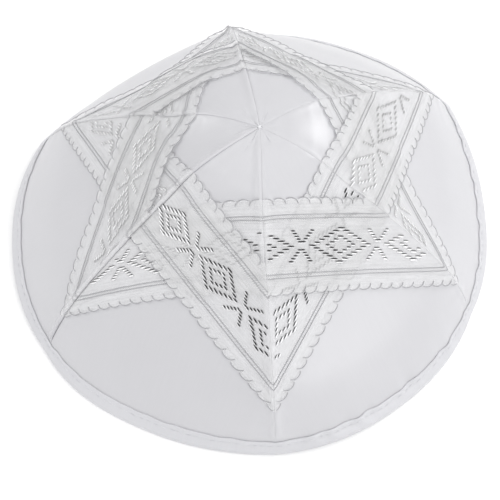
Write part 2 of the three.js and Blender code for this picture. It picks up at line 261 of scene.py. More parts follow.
# ---- the crown ----
@dataclass
class Crown:
    """The cloth surface of the crown, by gore, level (0 tip, 1 edge) and across (-1 and 1 at its seams).

    Its outer face is height 0. Every layer of the cap is placed by its height over that face, so that folds,
    puckers and dents pass through all of them.
    """

    fold_radius: float = 0.75  # how far from the seam a fold's top is
    fold_reach: float = 1.1  # how far it fades beyond its top
    seam_gap: float = 0.015  # clearance of each side from the seam's plane
    pucker_reach: float = 5.0  # how far from a seam its puckers reach
    seam_pucker: float = 0.16
    soft_dent: float = 0.35
    gather_reach: float = 7.0
    step: float = 1e-3
    shift: tuple[float, float, float] = (0.9589, 2.4279, 0.0)  # puts the outline's middle over the origin

    def __post_init__(self) -> None:
        """Works out the two profiles and the level that the binding reaches."""
        self.seam_line = np.array([(row.seam_radius, 0.0, row.seam_height) for row in LEVELS])
        self.middle_line = np.array([(row.middle_radius, 0.0, row.middle_height) for row in LEVELS])
        self.bound_level = self.level_above_edge(BOUND - FOLD_HEIGHT)

    def level_above_edge(self, length: float) -> float:
        """The level that lies a length of cloth above the edge."""
        levels = np.linspace(0, 1, 1001)
        away = np.linalg.norm(through(self.seam_line, levels) - self.seam_line[-1], axis=-1)
        return float(levels[away >= length].max())

    @staticmethod
    def offset(crown: float, belly: float, edge: float, level: Numbers) -> Numbers:
        """An offset at a level, from its values at the crown, the belly and the edge."""
        to_crown = smoothstep(level, 0, STATION_CROWN)
        to_belly = smoothstep(level, STATION_CROWN, STATION_BELLY)
        to_edge = smoothstep(level, STATION_BELLY, STATION_EDGE)
        return crown * (to_crown - to_belly) + belly * (to_belly - to_edge) + edge * to_edge

    @staticmethod
    def around(radius: Numbers, angle: float, height: Numbers, level: Numbers) -> Grid:
        """Points at a radius and an azimuth, moved over where the tip leans."""
        lean = TIP_SHIFT * (1 - smoothstep(level, 0, STATION_CROWN))
        return np.stack([radius * math.cos(angle) + lean, radius * math.sin(angle), height], -1)

    def seam_point(self, index: int, level: Numbers) -> Grid:
        """The point of a seam at a level."""
        seam = SEAMS[index % len(SEAMS)]
        at = through(self.seam_line, level)
        radius = at[..., 0] + self.offset(seam.crown, seam.belly, seam.edge, level)
        return self.around(radius, math.radians(seam.azimuth), at[..., 2], level)

    def middle_point(self, index: int, level: Numbers) -> Grid:
        """The point in a gore's middle at a level."""
        gore = GORES[index]
        at = through(self.middle_line, level)
        after = SEAMS[(index + 1) % len(SEAMS)].azimuth + (360 if index + 1 == len(SEAMS) else 0)
        angle = math.radians((SEAMS[index].azimuth + after) / 2)
        radius = at[..., 0] + gore.edge * smoothstep(level, STATION_BELLY, STATION_EDGE)
        risen = smoothstep(level, STATION_CROWN, STATION_SLOPE)
        hump = risen - smoothstep(level, STATION_SLOPE, STATION_BELLY)
        height = at[..., 2] + self.offset(gore.crown, gore.belly, 0, level) + gore.slope * hump
        return self.around(radius, angle, height, level)

    def point(self, index: int, level: Numbers, across: Numbers) -> Grid:
        """A point of a gore's smooth outer face."""
        level, across = np.broadcast_arrays(np.asarray(level, float), np.asarray(across, float))
        a, b = self.seam_point(index, level), self.seam_point(index + 1, level)
        power = 2 + 0.3 * smoothstep(level, STATION_BELLY, STATION_EDGE)
        bulge = (1 - np.abs(across) ** power)[..., None]
        rise = self.middle_point(index, level) - (a + b) / 2
        share = ((across + 1) / 2)[..., None]
        return a + (b - a) * share + rise * bulge + (b - a) * (GORES[index].lean * bulge)

    def normal(self, index: int, level: Numbers, across: Numbers) -> Grid:
        """The outward normal of that face."""
        low, high = np.maximum(level - self.step, 0), np.minimum(level + self.step, 1)
        down = self.point(index, high, across) - self.point(index, low, across)
        along = self.point(index, level, across + self.step) - self.point(index, level, across - self.step)
        return unit(np.cross(down, along))

    def half_width(self, index: int, level: Numbers) -> Numbers:
        """Half the distance between a gore's two seams at a level."""
        return np.linalg.norm(self.seam_point(index, level) - self.seam_point(index + 1, level), axis=-1) / 2

    def fold(self, index: int, level: Numbers, across: Numbers) -> Numbers:
        """Height of the folded edge beside a seam, and of the groove between the two.

        Args:
            index: the gore.
            level: the levels.
            across: the places across it.

        Returns:
            The height there, which is 0 away from the seams.
        """
        distance = (1 - np.abs(across)) * self.half_width(index, level)
        own, after = SEAMS[index], SEAMS[(index + 1) % len(SEAMS)]
        top = np.where(across < 0, own.fold_after, after.fold_before)
        other = np.where(across < 0, own.fold_before, after.fold_after)
        grown_ = 0.4 + 0.6 * smoothstep(level, 0.02, 0.2)
        top, lower = top * grown_, np.minimum(top, other) * grown_
        fade = 1 - smoothstep(level, self.bound_level - 0.06, self.bound_level)
        beyond = top * np.exp(-(((distance - self.fold_radius) / self.fold_reach) ** 2))
        inside = np.clip(1 - distance / self.fold_radius, 0, 1)
        crease = np.where(across < 0, own.crease, after.crease) * (0.1 + 0.9 * smoothstep(level, 0.14, 0.28))
        dip = (top - lower + crease) * (1 - np.sqrt(1 - inside**2))
        return fade * np.where(distance > self.fold_radius, beyond, top - dip)

    def relief(self, index: int, level: Numbers, across: Numbers) -> Numbers:
        """Puckers along the seams and the binding, gathers at the tip and the cloth's broad soft dents."""
        width = self.half_width(index, level)
        side = np.where(across < 0, index, index + 1)
        distance = (1 - np.abs(across)) * width
        down = level * GORE_LENGTH
        away = across * width
        held = 1 - smoothstep(level, self.bound_level, 1.0)
        seam = self.seam_pucker * ripple(down, 6.5, 3) * np.exp(-distance / self.pucker_reach)
        seam = seam * np.sign(np.sin(side * 2.2 + 1)) * smoothstep(distance, 0.0, 1.2)
        above = np.maximum(self.bound_level - level, 0) * GORE_LENGTH
        edge = held * GORES[index].edge_pucker * np.exp(-above / 4.5) * ripple(away + 31 * index, 8.5, index)
        turn = np.arctan2(across * width, np.maximum(down, 1e-3))
        tip = GORES[index].tip_pucker * np.exp(-((down / self.gather_reach) ** 2))
        tip = tip * ripple(turn * 180 / math.pi, 17.0, index)
        tip = tip * smoothstep(down, 0.3, 2.0)
        broad = self.soft_dent * ripple(0.7 * down + 0.45 * away, 47.0, index)
        broad = broad * ripple(away - 0.2 * down, 61.0, index + 2)
        edge = edge * (1 - smoothstep(np.abs(across), 0.93, 1.0))
        return seam * held + edge + tip + broad * held * smoothstep(distance, 0, 12)

    def over(self, index: int, level: Numbers, across: Numbers, height: Numbers) -> Grid:
        """Points at a height over the cloth's outer face, kept to their own side of the seams.

        Args:
            index: the gore.
            level: the levels.
            across: the places across it.
            height: how far over the face, in millimetres.

        Returns:
            The points, in the part's own frame.
        """
        level, across = np.broadcast_arrays(np.asarray(level, float), np.asarray(across, float))
        normal = self.normal(index, level, across)
        lift = (height + self.fold(index, level, across) + self.relief(index, level, across))[..., None]
        own, after = SEAMS[index], SEAMS[(index + 1) % len(SEAMS)]
        azimuth = np.radians(np.where(across < 0, own.azimuth, after.azimuth))
        plane = np.stack([-np.sin(azimuth), np.cos(azimuth), np.zeros_like(azimuth)], -1)
        mitre = normal - plane * dot(normal, plane)
        mitre = mitre / np.maximum(dot(mitre, normal), 0.3)
        distance = (1 - np.abs(across)) * self.half_width(index, level)
        share = (1 - smoothstep(distance, 0.0, 2.5))[..., None]
        inward = plane * np.where(across < 0, 1.0, -1.0)[..., None] * self.seam_gap
        outward = normal + (mitre - normal) * share
        return self.point(index, level, across) + outward * lift + inward * share + self.shift


@dataclass
class FlatGore:
    """A gore cut flat: how far down it a level is, in the middle and at the seams, and half its width."""

    crown: Crown
    steps: int = 120

    def __post_init__(self) -> None:
        """Walks down the two profiles, keeping their lengths."""
        self.level = np.arange(self.steps + 1) / self.steps
        seam = through(self.crown.seam_line, self.level)
        middle = through(self.crown.middle_line, self.level)
        sagitta = middle[:, 0] - seam[:, 0] * math.cos(math.pi / 6)
        chord = seam[:, 0] / 2
        self.half = chord * (1 + (2 / 3) * (sagitta / chord) ** 2)
        self.half[0] = LEVELS[0].seam_radius / 2
        seam_step = np.linalg.norm(np.diff(seam, axis=0), axis=-1)
        middle_step = np.linalg.norm(np.diff(middle, axis=0), axis=-1)
        start = LEVELS[0].middle_radius
        self.middle = start + np.concatenate([[0], np.cumsum(middle_step)])
        run = np.sqrt(np.maximum(seam_step**2 - np.diff(self.half) ** 2, 0))
        self.seam = start + np.concatenate([[0], np.cumsum(run)])

    def place(self, down: Numbers, sideways: Numbers) -> tuple[Numbers, Numbers]:
        """The level and the place across a gore of points on its flat cut.

        Args:
            down: distance down the gore's middle line.
            sideways: distance from that line.

        Returns:
            The levels and the places across.
        """
        down, sideways = np.broadcast_arrays(np.asarray(down, float), np.asarray(sideways, float))
        low = np.interp(np.abs(sideways) / 1.5, self.half, self.level)
        high = np.ones_like(low)
        for _ in range(22):
            level = (low + high) / 2
            across = sideways / np.interp(level, self.level, self.half)
            middle, seam = np.interp(level, self.level, self.middle), np.interp(level, self.level, self.seam)
            short = middle + (seam - middle) * across**2 < down
            low, high = np.where(short, level, low), np.where(short, high, level)
        level = (low + high) / 2
        return level, sideways / np.interp(level, self.level, self.half)

    def area(self, allowance: float) -> float:
        """The flat cut's area in square millimetres, with a seam allowance down both sides."""
        length = self.middle[-1]
        return float(2 * np.trapz(self.half, self.middle) + 2 * allowance * length)


# ---- meshes ----
@dataclass
class Patch:
    """The points, faces and flat places of one closed piece of mesh."""

    points: Grid
    faces: Numbers
    flat: Grid


def slab(outer: Grid, inner: Grid, flat: Grid) -> Patch:
    """The closed sheet between two grids of points, the first one facing out.

    Args:
        outer: rows and columns of points, down and then sideways.
        inner: the matching points of the other face.
        flat: where each of them lies on the flat cut.

    Returns:
        The sheet as one patch.
    """
    rows, columns = outer.shape[:2]
    number = np.arange(2 * rows * columns).reshape(2, rows, columns)

    def quads(a: Numbers, b: Numbers, c: Numbers, d: Numbers) -> Numbers:
        """Faces from four arrays of corners."""
        return np.stack([a.ravel(), b.ravel(), c.ravel(), d.ravel()], -1)

    top, under = number
    faces = [
        quads(top[:-1, :-1], top[1:, :-1], top[1:, 1:], top[:-1, 1:]),
        quads(under[:-1, 1:], under[1:, 1:], under[1:, :-1], under[:-1, :-1]),
        quads(top[:-1, 0], under[:-1, 0], under[1:, 0], top[1:, 0]),
        quads(top[:-1, -1], top[1:, -1], under[1:, -1], under[:-1, -1]),
        quads(top[0, :-1], top[0, 1:], under[0, 1:], under[0, :-1]),
        quads(top[-1, :-1], under[-1, :-1], under[-1, 1:], top[-1, 1:]),
    ]
    points = np.concatenate([outer.reshape(-1, 3), inner.reshape(-1, 3)])
    return Patch(points, np.concatenate(faces), np.concatenate([flat.reshape(-1, 2)] * 2))


def hoop(sections: Grid, flat: Grid) -> Patch:
    """The closed ring through sections of one outline.

    Args:
        sections: the sections in turn, each a closed loop of points.
        flat: where each point lies on the flat cut.

    Returns:
        The ring as one patch.
    """
    count, size = sections.shape[:2]
    number = np.arange(count * size).reshape(count, size)
    after, beside = np.roll(number, -1, 0), np.roll(number, -1, 1)
    corner = np.roll(after, -1, 1)
    faces = np.stack([number.ravel(), beside.ravel(), corner.ravel(), after.ravel()], -1)
    return Patch(sections.reshape(-1, 3), faces, flat.reshape(-1, 2))


def make_piece(name: str, patches: list[Patch], material: bpy.types.Material) -> bpy.types.Object:
    """A smooth-shaded mesh object with its flat cut as UV map, one unit to the millimetre.

    Args:
        name: the object's name.
        patches: its closed pieces of mesh.
        material: its material.

    Returns:
        The object, linked to the scene.
    """
    starts = np.cumsum([0] + [len(patch.points) for patch in patches])
    points = np.concatenate([patch.points for patch in patches]) * MM
    faces = np.concatenate([patch.faces + start for patch, start in zip(patches, starts)])
    flat = np.concatenate([patch.flat for patch in patches])
    mesh = bpy.data.meshes.new(name)
    mesh.from_pydata(points.tolist(), [], faces.tolist())
    layer = mesh.uv_layers.new(name="cloth")
    layer.data.foreach_set("uv", flat[faces.ravel()].astype(np.float32).ravel())
    mesh.polygons.foreach_set("use_smooth", np.ones(len(faces), bool))
    mesh.set_sharp_from_angle(angle=math.radians(50))
    mesh.materials.append(material)
    mesh.update()
    piece = bpy.data.objects.new(name, mesh)
    bpy.context.scene.collection.objects.link(piece)
    return piece


# ---- geometry node trees ----
class NodeTree:
    """A small helper that adds nodes to a tree and links them."""

    def __init__(self, tree: bpy.types.NodeTree) -> None:
        """Keeps the tree."""
        self.tree = tree
        self.column = 0

    def add(self, kind: str, inputs: dict | None = None, **settings: object) -> bpy.types.Node:
        """Adds a node.

        Args:
            kind: the node's type.
            inputs: values or output sockets for its inputs, by name or number.
            settings: its properties.

        Returns:
            The node.
        """
        node = self.tree.nodes.new(kind)
        node.location = (self.column * 190, 0)
        self.column += 1
        for key, value in settings.items():
            setattr(node, key, value)
        for key, value in (inputs or {}).items():
            if isinstance(value, bpy.types.NodeSocket):
                self.tree.links.new(value, node.inputs[key])
            else:
                node.inputs[key].default_value = value
        return node

    def math(self, operation: str, *values: object) -> bpy.types.NodeSocket:
        """The result of a Math node on up to three values or sockets."""
        return self.add("ShaderNodeMath", dict(enumerate(values)), operation=operation).outputs[0]


def open_group(name: str, kind: str, inputs: dict[str, str], outputs: dict[str, str]) -> bpy.types.NodeTree:
    """A new node group with its sockets.

    Args:
        name: the group's name.
        kind: its type of tree.
        inputs: the kind of each input, such as Float, by name.
        outputs: the same for its outputs.

    Returns:
        The group, without nodes yet.
    """
    tree = bpy.data.node_groups.new(name, kind)
    for way, sockets in (("INPUT", inputs), ("OUTPUT", outputs)):
        for label, socket in sockets.items():
            tree.interface.new_socket(label, in_out=way, socket_type=f"NodeSocket{socket}")
    return tree


@dataclass
class ThreadTree:
    """Short laid threads, one at each point of a mesh, along its "lay" and facing its "up"."""

    segments: int = 6
    rings: int = 6

    def build(self) -> bpy.types.GeometryNodeTree:
        """Builds the tree, whose inputs are Width, Height and Finish."""
        sockets = {"Geometry": "Geometry", "Width": "Float", "Height": "Float", "Finish": "Material"}
        tree = open_group("laid_threads", "GeometryNodeTree", sockets, {"Geometry": "Geometry"})
        nodes = NodeTree(tree)
        entry = nodes.add("NodeGroupInput")

        def attribute(name: str, kind: str) -> bpy.types.NodeSocket:
            """A named attribute of the points."""
            node = nodes.add("GeometryNodeInputNamedAttribute", data_type=kind)
            node.inputs["Name"].default_value = name
            return node.outputs["Attribute"]

        sizes = {"Segments": self.segments, "Rings": self.rings, "Radius": 0.5}
        ball = nodes.add("GeometryNodeMeshUVSphere", sizes)
        turned = nodes.add(
            "GeometryNodeTransform", {"Geometry": ball.outputs["Mesh"], "Rotation": (0.0, math.pi / 2, 0.0)}
        )
        smooth = nodes.add("GeometryNodeSetShadeSmooth", {"Geometry": turned.outputs[0]})
        turn = nodes.add(
            "FunctionNodeAxesToRotation",
            {
                "Primary Axis": attribute("lay", "FLOAT_VECTOR"),
                "Secondary Axis": attribute("up", "FLOAT_VECTOR"),
            },
            primary_axis="X",
            secondary_axis="Z",
        )
        size = nodes.add(
            "ShaderNodeCombineXYZ",
            {
                "X": attribute("reach", "FLOAT"),
                "Y": nodes.math("MULTIPLY", attribute("girth", "FLOAT"), entry.outputs["Width"]),
                "Z": entry.outputs["Height"],
            },
        )
        laid = nodes.add(
            "GeometryNodeInstanceOnPoints",
            {
                "Points": entry.outputs["Geometry"],
                "Instance": smooth.outputs[0],
                "Rotation": turn.outputs[0],
                "Scale": size.outputs[0],
            },
        )
        real = nodes.add("GeometryNodeRealizeInstances", {"Geometry": laid.outputs[0]})
        dressed = nodes.add(
            "GeometryNodeSetMaterial", {"Geometry": real.outputs[0], "Material": entry.outputs["Finish"]}
        )
        nodes.add("NodeGroupOutput", {"Geometry": dressed.outputs[0]})
        return tree


@dataclass
class CordTree:
    """Fine cords along the edges of a mesh."""

    def build(self) -> bpy.types.GeometryNodeTree:
        """Builds the tree, whose inputs are Radius, Sides and Finish."""
        sockets = {"Geometry": "Geometry", "Radius": "Float", "Sides": "Int", "Finish": "Material"}
        tree = open_group("fine_cords", "GeometryNodeTree", sockets, {"Geometry": "Geometry"})
        nodes = NodeTree(tree)
        entry = nodes.add("NodeGroupInput")
        route = nodes.add("GeometryNodeMeshToCurve", {"Mesh": entry.outputs["Geometry"]})
        round_ = nodes.add(
            "GeometryNodeCurvePrimitiveCircle",
            {"Resolution": entry.outputs["Sides"], "Radius": entry.outputs["Radius"]},
        )
        tube = nodes.add(
            "GeometryNodeCurveToMesh",
            {"Curve": route.outputs[0], "Profile Curve": round_.outputs["Curve"], "Fill Caps": True},
        )
        smooth = nodes.add("GeometryNodeSetShadeSmooth", {"Geometry": tube.outputs[0]})
        real = nodes.add("GeometryNodeRealizeInstances", {"Geometry": smooth.outputs[0]})
        dressed = nodes.add(
            "GeometryNodeSetMaterial", {"Geometry": real.outputs[0], "Material": entry.outputs["Finish"]}
        )
        nodes.add("NodeGroupOutput", {"Geometry": dressed.outputs[0]})
        return tree


def grown(
    name: str, mesh: bpy.types.Mesh, tree: bpy.types.NodeTree, values: dict[str, object]
) -> bpy.types.Object:
    """A plain mesh object of what a node tree makes from a mesh.

    Args:
        name: the object's name.
        mesh: what the tree starts from.
        tree: the geometry node tree.
        values: its inputs by name.

    Returns:
        The object, with its modifier removed.
    """
    piece = bpy.data.objects.new(name, mesh)
    bpy.context.scene.collection.objects.link(piece)
    modifier = piece.modifiers.new("grown", "NODES")
    modifier.node_group = tree
    for item in tree.interface.items_tree:
        if item.in_out == "INPUT" and item.name in values:
            modifier[item.identifier] = values[item.name]
    graph = bpy.context.evaluated_depsgraph_get()
    result = piece.evaluated_get(graph)
    made = bpy.data.meshes.new_from_object(result, preserve_all_data_layers=True, depsgraph=graph)
    piece.modifiers.remove(modifier)
    piece.data = made
    made.name = name
    bpy.data.meshes.remove(mesh)
    return piece


@dataclass
class Threads:
    """Laid threads collected for one piece: where they are, how they lie, and how bright each one is."""

    places: list[Grid] = field(default_factory=list)
    lays: list[Grid] = field(default_factory=list)
    ups: list[Grid] = field(default_factory=list)
    reaches: list[Numbers] = field(default_factory=list)
    tones: list[Numbers] = field(default_factory=list)
    girths: list[Numbers] = field(default_factory=list)

    def add(
        self, place: Grid, lay: Grid, up: Grid, reach: Numbers, tone: Numbers, girth: Numbers = 1.0
    ) -> None:
        """Adds rows of threads, in millimetres, with each one's girth as a share of the usual one."""
        self.places.append(place)
        self.lays.append(unit(lay))
        self.ups.append(unit(up))
        self.reaches.append(np.broadcast_to(reach, len(place)))
        self.tones.append(np.broadcast_to(tone, len(place)))
        self.girths.append(np.broadcast_to(girth, len(place)))

    def piece(
        self, name: str, tree: bpy.types.NodeTree, size: tuple[float, float], finish: bpy.types.Material
    ) -> bpy.types.Object:
        """Grows them into one mesh.

        Args:
            name: the piece's name.
            tree: the laid_threads tree.
            size: a thread's width and height, in millimetres.
            finish: its material.

        Returns:
            The piece.
        """
        mesh = bpy.data.meshes.new(name + "_points")
        mesh.from_pydata((np.concatenate(self.places) * MM).tolist(), [], [])
        for label, rows in (("lay", self.lays), ("up", self.ups)):
            layer = mesh.attributes.new(label, "FLOAT_VECTOR", "POINT")
            layer.data.foreach_set("vector", np.concatenate(rows).astype(np.float32).ravel())
        numbers = (("reach", self.reaches, MM), ("tone", self.tones, 1.0), ("girth", self.girths, 1.0))
        for label, rows, scale in numbers:
            layer = mesh.attributes.new(label, "FLOAT", "POINT")
            layer.data.foreach_set("value", (np.concatenate(rows) * scale).astype(np.float32))
        return grown(name, mesh, tree, {"Width": size[0] * MM, "Height": size[1] * MM, "Finish": finish})


def cords(
    name: str, routes: list[Grid], tree: bpy.types.NodeTree, radius: float, finish: bpy.types.Material
) -> bpy.types.Object:
    """Fine cords along routes, as one mesh.

    Args:
        name: the piece's name.
        routes: the cords' centre lines, in millimetres.
        tree: the fine_cords tree.
        radius: a cord's radius, in millimetres.
        finish: its material.

    Returns:
        The piece.
    """
    mesh = bpy.data.meshes.new(name + "_routes")
    starts = np.cumsum([0] + [len(route) for route in routes])
    edges = [(k, k + 1) for start, route in zip(starts, routes) for k in range(start, start + len(route) - 1)]
    mesh.from_pydata((np.concatenate(routes) * MM).tolist(), edges, [])
    return grown(name, mesh, tree, {"Radius": radius * MM, "Sides": 6, "Finish": finish})


# ---- shader groups and finishes ----
def weave_group() -> bpy.types.NodeTree:
    """The thread structure of a woven cloth, from its flat place in millimetres.

    Returns:
        A group with inputs Place, Pitch and Slub, and outputs Height and Tone.
    """
    inputs = {"Place": "Vector", "Pitch": "Float", "Slub": "Float"}
    tree = open_group("weave", "ShaderNodeTree", inputs, {"Height": "Float", "Tone": "Float"})
    nodes = NodeTree(tree)
    entry = nodes.add("NodeGroupInput")
    place = nodes.add("ShaderNodeSeparateXYZ", {0: entry.outputs["Place"]})
    rate = nodes.math("DIVIDE", 2 * math.pi, entry.outputs["Pitch"])
    warp = nodes.math("SINE", nodes.math("MULTIPLY", place.outputs["X"], rate))
    weft = nodes.math("SINE", nodes.math("MULTIPLY", place.outputs["Y"], rate))
    crossing = nodes.math("MULTIPLY", warp, weft)
    height = nodes.math("MULTIPLY_ADD", crossing, 0.5, nodes.math("MULTIPLY", warp, 0.5))
    spread = {0: entry.outputs["Place"], 1: (1.6, 0.08, 1.0)}
    stretch = nodes.add("ShaderNodeVectorMath", spread, operation="MULTIPLY")
    slub = nodes.add("ShaderNodeTexNoise", {"Vector": stretch.outputs[0], "Scale": 1.0, "Detail": 3.0})
    uneven = nodes.math("SUBTRACT", slub.outputs["Fac"], 0.5)
    tone = nodes.math("MULTIPLY_ADD", uneven, entry.outputs["Slub"], 1.0)
    nodes.add("NodeGroupOutput", {"Height": height, "Tone": tone})
    return tree


def handling_group() -> bpy.types.NodeTree:
    """The unevenness of a soft cloth that has been sewn and handled.

    Returns:
        A group with inputs Place, Size and Depth, and outputs Shade and Height.
    """
    inputs = {"Place": "Vector", "Size": "Float", "Depth": "Float"}
    tree = open_group("handling", "ShaderNodeTree", inputs, {"Shade": "Float", "Height": "Float"})
    nodes = NodeTree(tree)
    entry = nodes.add("NodeGroupInput")
    rate = nodes.math("DIVIDE", 1.0, entry.outputs["Size"])
    broad = nodes.add("ShaderNodeTexNoise", {"Vector": entry.outputs["Place"], "Scale": rate, "Detail": 2.0})
    fine = nodes.add(
        "ShaderNodeTexNoise",
        {"Vector": entry.outputs["Place"], "Scale": nodes.math("MULTIPLY", rate, 5.0), "Detail": 3.0},
    )
    shade = nodes.math(
        "MULTIPLY_ADD", nodes.math("SUBTRACT", broad.outputs["Fac"], 0.5), entry.outputs["Depth"], 1.0
    )
    nodes.add("NodeGroupOutput", {"Shade": shade, "Height": fine.outputs["Fac"]})
    return tree


@dataclass(frozen=True)
class Groups:
    """The shader groups that more than one finish uses."""

    weave: bpy.types.NodeTree
    handling: bpy.types.NodeTree


HANDLING_SIZE = 26.0  # of the cloth's soft unevenness
HATCH_PITCH, HATCH_PLACE, HATCH_HALF_WIDTH = 0.62, 9.1, 0.95  # of the hatched band beside a ribbon's middle


@dataclass(frozen=True)
class ClothFinish:
    """A woven white cloth: satin, or with an opacity under 1 a sheer ribbon."""

    name: str
    colour: tuple[float, float, float]
    roughness: float
    pitch: float
    slub: float
    weave_depth: float
    handling_depth: float
    crumple: float
    opacity: float = 1.0
    sheen: float = 0.2
    specular: float = 0.5
    twill: float = 0.0  # strength of the hatched bands on a ribbon
    streak: float = 0.0  # strength of the long ridges of its warp

    def hatching(self, nodes: NodeTree, flat: bpy.types.NodeSocket) -> bpy.types.NodeSocket:
        """The tone of the fine diagonal hatching between and beside a ribbon's double lines.

        Args:
            nodes: the material's nodes.
            flat: the place across and along the ribbon, in millimetres.

        Returns:
            The tone's socket.
        """
        place = nodes.add("ShaderNodeSeparateXYZ", {0: flat})
        from_middle = nodes.math("SUBTRACT", place.outputs["X"], (STAR_INNER + STAR_OUTER) / 2)
        away = nodes.math("ABSOLUTE", from_middle)
        slanted = nodes.math("MULTIPLY_ADD", place.outputs["X"], 0.8, place.outputs["Y"])
        stripe = nodes.math("SINE", nodes.math("MULTIPLY", slanted, 2 * math.pi / HATCH_PITCH))
        band = nodes.math("COMPARE", away, HATCH_PLACE, HATCH_HALF_WIDTH)
        return nodes.math("MULTIPLY_ADD", nodes.math("MULTIPLY", stripe, band), self.twill, 1.0)

    def material(self, groups: Groups) -> bpy.types.Material:
        """Builds the material from the cloth's UV map.

        Args:
            groups: the shared shader groups.

        Returns:
            The material.
        """
        material = bpy.data.materials.new(self.name)
        material.use_nodes = True
        tree = material.node_tree
        tree.nodes.clear()
        nodes = NodeTree(tree)
        flat = nodes.add("ShaderNodeUVMap", uv_map="cloth").outputs[0]
        weave = nodes.add("ShaderNodeGroup", node_tree=groups.weave)
        tree.links.new(flat, weave.inputs["Place"])
        weave.inputs["Pitch"].default_value = self.pitch
        weave.inputs["Slub"].default_value = self.slub
        handling = nodes.add("ShaderNodeGroup", node_tree=groups.handling)
        tree.links.new(flat, handling.inputs["Place"])
        handling.inputs["Size"].default_value = HANDLING_SIZE
        handling.inputs["Depth"].default_value = self.handling_depth
        tone = nodes.math("MULTIPLY", weave.outputs["Tone"], handling.outputs["Shade"])
        if self.twill:
            tone = nodes.math("MULTIPLY", tone, self.hatching(nodes, flat))
        colour = nodes.add(
            "ShaderNodeVectorMath", {0: (*self.colour,), "Scale": tone}, operation="SCALE"
        )
        rough = nodes.math("MULTIPLY_ADD", handling.outputs["Height"], 0.1, self.roughness - 0.05)
        woven = nodes.add(
            "ShaderNodeBump",
            {"Strength": self.weave_depth, "Distance": 0.05 * MM, "Height": weave.outputs["Height"]},
        )
        handled = nodes.add(
            "ShaderNodeBump",
            {
                "Strength": self.crumple,
                "Distance": 0.5 * MM,
                "Height": handling.outputs["Height"],
                "Normal": woven.outputs[0],
            },
        )
        if self.streak:
            bent = nodes.add("ShaderNodeVectorMath", {0: flat, 1: (0.9, 0.045, 1.0)}, operation="MULTIPLY")
            warp = nodes.add(
                "ShaderNodeTexNoise",
                {"Vector": bent.outputs[0], "Scale": 1.0, "Detail": 2.0, "Distortion": 0.35},
            )
            handled = nodes.add(
                "ShaderNodeBump",
                {
                    "Strength": self.streak,
                    "Distance": 0.6 * MM,
                    "Height": warp.outputs["Fac"],
                    "Normal": handled.outputs[0],
                },
            )
        shader = nodes.add(
            "ShaderNodeBsdfPrincipled",
            {
                "Base Color": colour.outputs[0],
                "Roughness": rough,
                "Normal": handled.outputs[0],
                "Sheen Weight": self.sheen,
                "Sheen Roughness": 0.4,
                "Specular IOR Level": self.specular,
            },
        )
        if self.opacity < 1:
            open_ = nodes.math("MULTIPLY_ADD", weave.outputs["Height"], 0.06, self.opacity)
            tree.links.new(open_, shader.inputs["Alpha"])
        nodes.add("ShaderNodeOutputMaterial", {"Surface": shader.outputs[0]})
        return material


# a colour Mix node's two inputs and its output, by number
MIX_FIRST, MIX_SECOND, MIX_RESULT = 6, 7, 2


@dataclass(frozen=True)
class ThreadFinish:
    """A thread, whose brightness runs with each thread's tone from dark to bright; on the silver figure dark
    is a painted dark reflection and bright a painted glint.
    """

    name: str
    dark: tuple[float, float, float]
    bright: tuple[float, float, float]
    roughness: float
    metallic: float = 0.0

    def material(self) -> bpy.types.Material:
        """Builds the material from the threads' tone attribute."""
        material = bpy.data.materials.new(self.name)
        material.use_nodes = True
        tree = material.node_tree
        tree.nodes.clear()
        nodes = NodeTree(tree)
        tone = nodes.add("ShaderNodeAttribute", attribute_name="tone").outputs["Fac"]
        place = nodes.add("ShaderNodeTexCoord").outputs["Object"]
        strand = {"Vector": place, "Scale": 2200.0, "Detail": 1.0}
        twist = nodes.add("ShaderNodeTexNoise", strand).outputs["Fac"]
        # dark to bright by tone: on the silver threads, from a painted dark reflection to a painted glint
        colour = nodes.add(
            "ShaderNodeMix",
            {"Factor": nodes.math("ADD", tone, nodes.math("MULTIPLY_ADD", twist, 0.2, -0.1))},
            data_type="RGBA",
            clamp_factor=True,
        )
        for socket, value in ((MIX_FIRST, self.dark), (MIX_SECOND, self.bright)):
            colour.inputs[socket].default_value = (*value, 1)
        bump = nodes.add("ShaderNodeBump", {"Strength": 0.3, "Distance": 0.05 * MM, "Height": twist})
        shader = nodes.add(
            "ShaderNodeBsdfPrincipled",
            {
                "Base Color": colour.outputs[MIX_RESULT],
                "Roughness": self.roughness,
                "Metallic": self.metallic,
                "Normal": bump.outputs[0],
            },
        )
        nodes.add("ShaderNodeOutputMaterial", {"Surface": shader.outputs[0]})
        return material


SATIN = ClothFinish(
    "white_satin",
    colour=(0.565, 0.563, 0.585),
    roughness=0.34,
    pitch=0.22,
    slub=0.04,
    weave_depth=0.1,
    handling_depth=0.05,
    crumple=0.05,
    sheen=0.1,
    specular=0.7,
)
BINDING_SATIN = ClothFinish(
    "binding_satin",
    colour=(0.6, 0.6, 0.625),
    roughness=0.42,
    pitch=0.22,
    slub=0.06,
    weave_depth=0.12,
    handling_depth=0.06,
    crumple=0.1,
)
SHEER = ClothFinish(
    "sheer_ribbon",
    colour=(0.94, 0.94, 0.95),
    roughness=0.5,
    pitch=0.3,
    slub=0.36,
    weave_depth=0.3,
    handling_depth=0.05,
    crumple=0.1,
    opacity=0.3,
    sheen=0.1,
    twill=0.5,
    streak=1.0,
)
# its near-black colour is a painted dark reflection and its near-white one a painted glint
SILVER = ThreadFinish("silver_thread", (0.008, 0.008, 0.009), (0.97, 0.97, 0.98), 0.4, 0.2)
EDGE_CORD = ThreadFinish("ribbon_edge_cord", (0.33, 0.33, 0.345), (0.8, 0.8, 0.82), 0.5)
SEWING = ThreadFinish("sewing_thread", (0.45, 0.45, 0.48), (0.85, 0.85, 0.87), 0.5)


